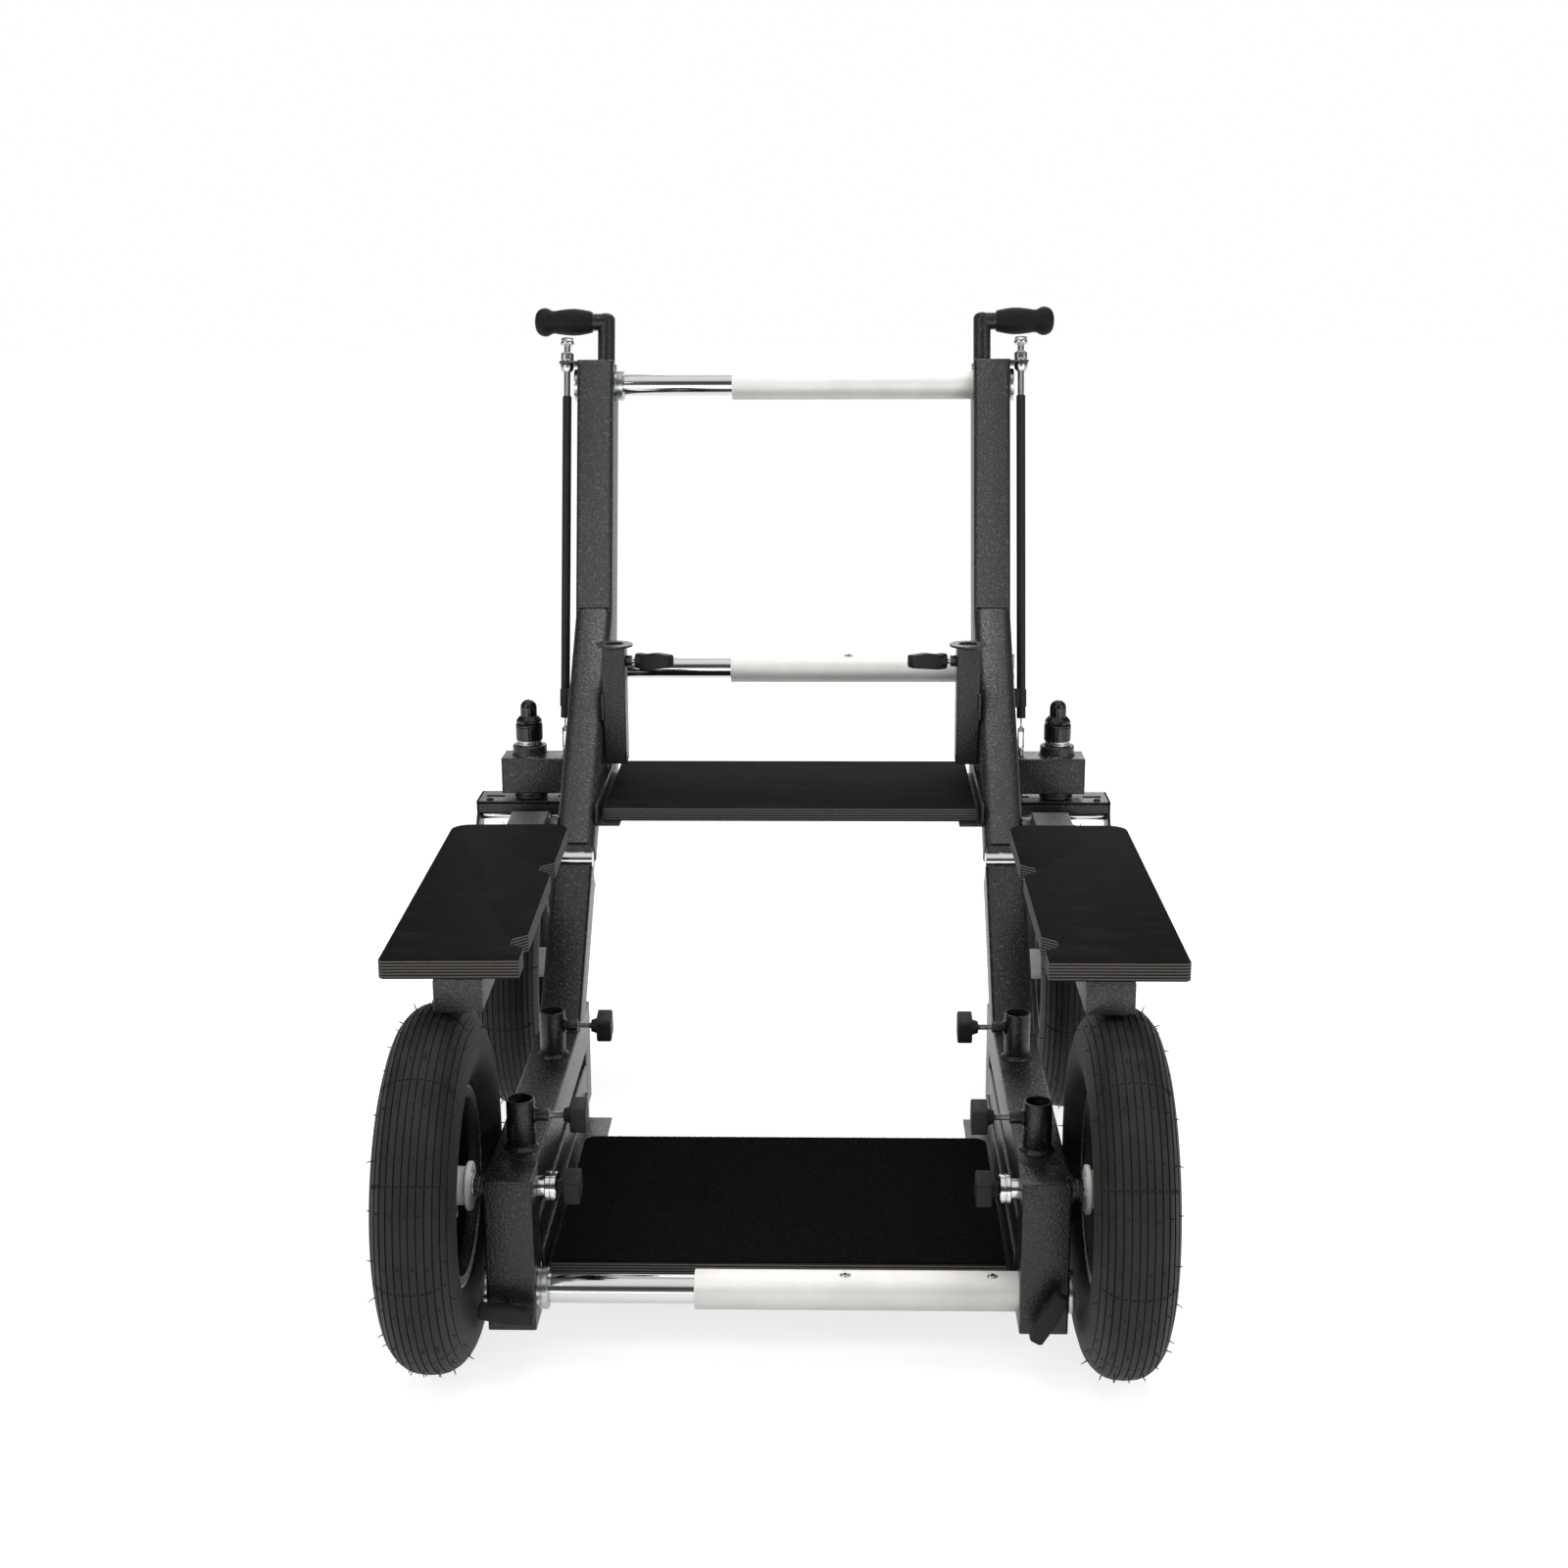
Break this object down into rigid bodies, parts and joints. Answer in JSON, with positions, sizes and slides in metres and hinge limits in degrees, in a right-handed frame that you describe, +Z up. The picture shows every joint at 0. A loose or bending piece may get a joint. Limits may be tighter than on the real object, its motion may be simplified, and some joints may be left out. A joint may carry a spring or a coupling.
{
  "type": "doorway dolly",
  "caption": "Film set doorway dolly: two welded side frames on pneumatic wheels with rear swivel casters, telescoping cross tubes, platform, seat board and folding side boards.",
  "frame": {"origin": "on the floor under the middle of the bounding box", "axes": "+Z up, +Y from the platform end to the push handles, +X to the right seen from the platform end"},
  "size_m": [0.8966, 1.234, 1.0462],
  "materials": {
    "black_powder_coat": "fine textured black powder coat",
    "polished_steel": "polished bright steel",
    "satin_aluminium": "satin anodised",
    "zinc_plate": "bright zinc plated",
    "black_plastic": "moulded black",
    "grip_rubber": "matte black rubber",
    "tyre_rubber": "ribbed black rubber",
    "faced_plywood": "black film faced plywood with layered edges",
    "carpeted_plywood": "plywood under short black carpet"
  },
  "bodies": {
    "left_frame": {"front_frame_left": "black_powder_coat", "rear_frame_left": "black_powder_coat", "seat_socket_left": "black_powder_coat", "push_handle_left": "black_powder_coat", "grip_left": "grip_rubber", "lock_sleeve_left": "black_plastic", "front_axle_left": "polished_steel", "front_socket_left": "black_powder_coat", "rear_socket_left": "black_powder_coat", "support_bar_left": "polished_steel", "front_inner_tube": "polished_steel", "middle_inner_tube": "polished_steel", "upper_inner_tube": "polished_steel", "platform_board": "carpeted_plywood", "seat_board": "faced_plywood"},
    "right_frame": {"front_frame_right": "black_powder_coat", "rear_frame_right": "black_powder_coat", "seat_socket_right": "black_powder_coat", "push_handle_right": "black_powder_coat", "grip_right": "grip_rubber", "lock_sleeve_right": "black_plastic", "front_axle_right": "polished_steel", "front_socket_right": "black_powder_coat", "rear_socket_right": "black_powder_coat", "support_bar_right": "polished_steel", "front_sleeve": "satin_aluminium", "middle_sleeve": "satin_aluminium", "upper_sleeve": "satin_aluminium"},
    "front_wheel_left": {"front_tyre_left": "tyre_rubber", "front_rim_left": "satin_aluminium"},
    "caster_left": {"caster_fork_left": "black_powder_coat", "kingpin_left": "black_plastic", "rear_axle_left": "zinc_plate"},
    "rear_wheel_left": {"rear_tyre_left": "tyre_rubber", "rear_rim_left": "satin_aluminium"},
    "side_platform_left": {"side_board_left": "faced_plywood", "side_arm_left": "black_powder_coat"},
    "pull_rod_left": {"lock_rod_left": "zinc_plate"},
    "pin_left": {"lock_pin_left": "zinc_plate"},
    "lever_left": {"seat_lever_left": "black_plastic"},
    "front_knob_left": {"front_socket_knob_left": "black_plastic"},
    "rear_knob_left": {"rear_socket_knob_left": "black_plastic"},
    "hub_knob_left": {"axle_knob_left": "black_plastic"},
    "clamp_left": {"clamp_handle_left": "black_plastic"},
    "front_wheel_right": {"front_tyre_right": "tyre_rubber", "front_rim_right": "satin_aluminium"},
    "caster_right": {"caster_fork_right": "black_powder_coat", "kingpin_right": "black_plastic", "rear_axle_right": "zinc_plate"},
    "rear_wheel_right": {"rear_tyre_right": "tyre_rubber", "rear_rim_right": "satin_aluminium"},
    "side_platform_right": {"side_board_right": "faced_plywood", "side_arm_right": "black_powder_coat"},
    "pull_rod_right": {"lock_rod_right": "zinc_plate"},
    "pin_right": {"lock_pin_right": "zinc_plate"},
    "lever_right": {"seat_lever_right": "black_plastic"},
    "front_knob_right": {"front_socket_knob_right": "black_plastic"},
    "rear_knob_right": {"rear_socket_knob_right": "black_plastic"},
    "hub_knob_right": {"axle_knob_right": "black_plastic"},
    "clamp_right": {"clamp_handle_right": "black_plastic"}
  },
  "joints": [
    {"name": "track_width", "type": "slide", "parent": "left_frame", "child": "right_frame", "axis": [1, 0, 0], "range_m": [-0.005, 0.07]},
    {"name": "front_wheel_spin_left", "type": "hinge", "parent": "left_frame", "child": "front_wheel_left", "pos_m": [-0.351, -0.427, 0.19], "axis": [1, 0, 0], "continuous": true},
    {"name": "caster_swivel_left", "type": "hinge", "parent": "left_frame", "child": "caster_left", "pos_m": [-0.365, 0.419, 0.42], "axis": [0, 0, 1], "continuous": true},
    {"name": "rear_wheel_spin_left", "type": "hinge", "parent": "caster_left", "child": "rear_wheel_left", "pos_m": [-0.365, 0.279, 0.19], "axis": [1, 0, 0], "continuous": true},
    {"name": "side_platform_fold_left", "type": "hinge", "parent": "left_frame", "child": "side_platform_left", "pos_m": [-0.335, 0.191, 0.404], "axis": [-1, 0, 0], "range_deg": [0, 90]},
    {"name": "pull_rod_slide_left", "type": "slide", "parent": "left_frame", "child": "pull_rod_left", "axis": [0, 0.2807, 0.9598], "range_m": [-0.0045, 0]},
    {"name": "lock_pin_slide_left", "type": "slide", "parent": "left_frame", "child": "pin_left", "axis": [0, 0, 1], "range_m": [-0.0044, 0]},
    {"name": "seat_lever_turn_left", "type": "hinge", "parent": "left_frame", "child": "lever_left", "pos_m": [-0.2, 0.319, 0.598], "axis": [1, 0, 0], "range_deg": [-90, 90]},
    {"name": "front_knob_turn_left", "type": "hinge", "parent": "left_frame", "child": "front_knob_left", "pos_m": [-0.21, -0.383, 0.251], "axis": [1, 0, 0], "range_deg": [0, 270]},
    {"name": "rear_knob_turn_left", "type": "hinge", "parent": "left_frame", "child": "rear_knob_left", "pos_m": [-0.21, -0.121, 0.251], "axis": [1, 0, 0], "range_deg": [0, 270]},
    {"name": "axle_knob_turn_left", "type": "hinge", "parent": "left_frame", "child": "hub_knob_left", "pos_m": [-0.21, -0.427, 0.19], "axis": [1, 0, 0], "range_deg": [0, 270]},
    {"name": "clamp_turn_left", "type": "hinge", "parent": "left_frame", "child": "clamp_left", "pos_m": [-0.277, -0.487, 0.076], "axis": [0, -1, 0], "range_deg": [0, 90]},
    {"name": "front_wheel_spin_right", "type": "hinge", "parent": "right_frame", "child": "front_wheel_right", "pos_m": [0.351, -0.427, 0.19], "axis": [1, 0, 0], "continuous": true},
    {"name": "caster_swivel_right", "type": "hinge", "parent": "right_frame", "child": "caster_right", "pos_m": [0.365, 0.419, 0.42], "axis": [0, 0, 1], "continuous": true},
    {"name": "rear_wheel_spin_right", "type": "hinge", "parent": "caster_right", "child": "rear_wheel_right", "pos_m": [0.365, 0.279, 0.19], "axis": [1, 0, 0], "continuous": true},
    {"name": "side_platform_fold_right", "type": "hinge", "parent": "right_frame", "child": "side_platform_right", "pos_m": [0.335, 0.191, 0.404], "axis": [-1, 0, 0], "range_deg": [0, 90]},
    {"name": "pull_rod_slide_right", "type": "slide", "parent": "right_frame", "child": "pull_rod_right", "axis": [0, 0.2807, 0.9598], "range_m": [-0.0045, 0]},
    {"name": "lock_pin_slide_right", "type": "slide", "parent": "right_frame", "child": "pin_right", "axis": [0, 0, 1], "range_m": [-0.0044, 0]},
    {"name": "seat_lever_turn_right", "type": "hinge", "parent": "right_frame", "child": "lever_right", "pos_m": [0.2, 0.319, 0.598], "axis": [1, 0, 0], "range_deg": [-90, 90]},
    {"name": "front_knob_turn_right", "type": "hinge", "parent": "right_frame", "child": "front_knob_right", "pos_m": [0.21, -0.383, 0.251], "axis": [1, 0, 0], "range_deg": [0, 270]},
    {"name": "rear_knob_turn_right", "type": "hinge", "parent": "right_frame", "child": "rear_knob_right", "pos_m": [0.21, -0.121, 0.251], "axis": [1, 0, 0], "range_deg": [0, 270]},
    {"name": "axle_knob_turn_right", "type": "hinge", "parent": "right_frame", "child": "hub_knob_right", "pos_m": [0.21, -0.427, 0.19], "axis": [1, 0, 0], "range_deg": [0, 270]},
    {"name": "clamp_turn_right", "type": "hinge", "parent": "right_frame", "child": "clamp_right", "pos_m": [0.277, -0.487, 0.076], "axis": [0, 1, 0], "range_deg": [0, 90]}
  ],
  "couplings": [
    {"joint": "lock_pin_slide_left", "follows": "pull_rod_slide_left", "ratio": 0.9598},
    {"joint": "lock_pin_slide_right", "follows": "pull_rod_slide_right", "ratio": 0.9598}
  ]
}
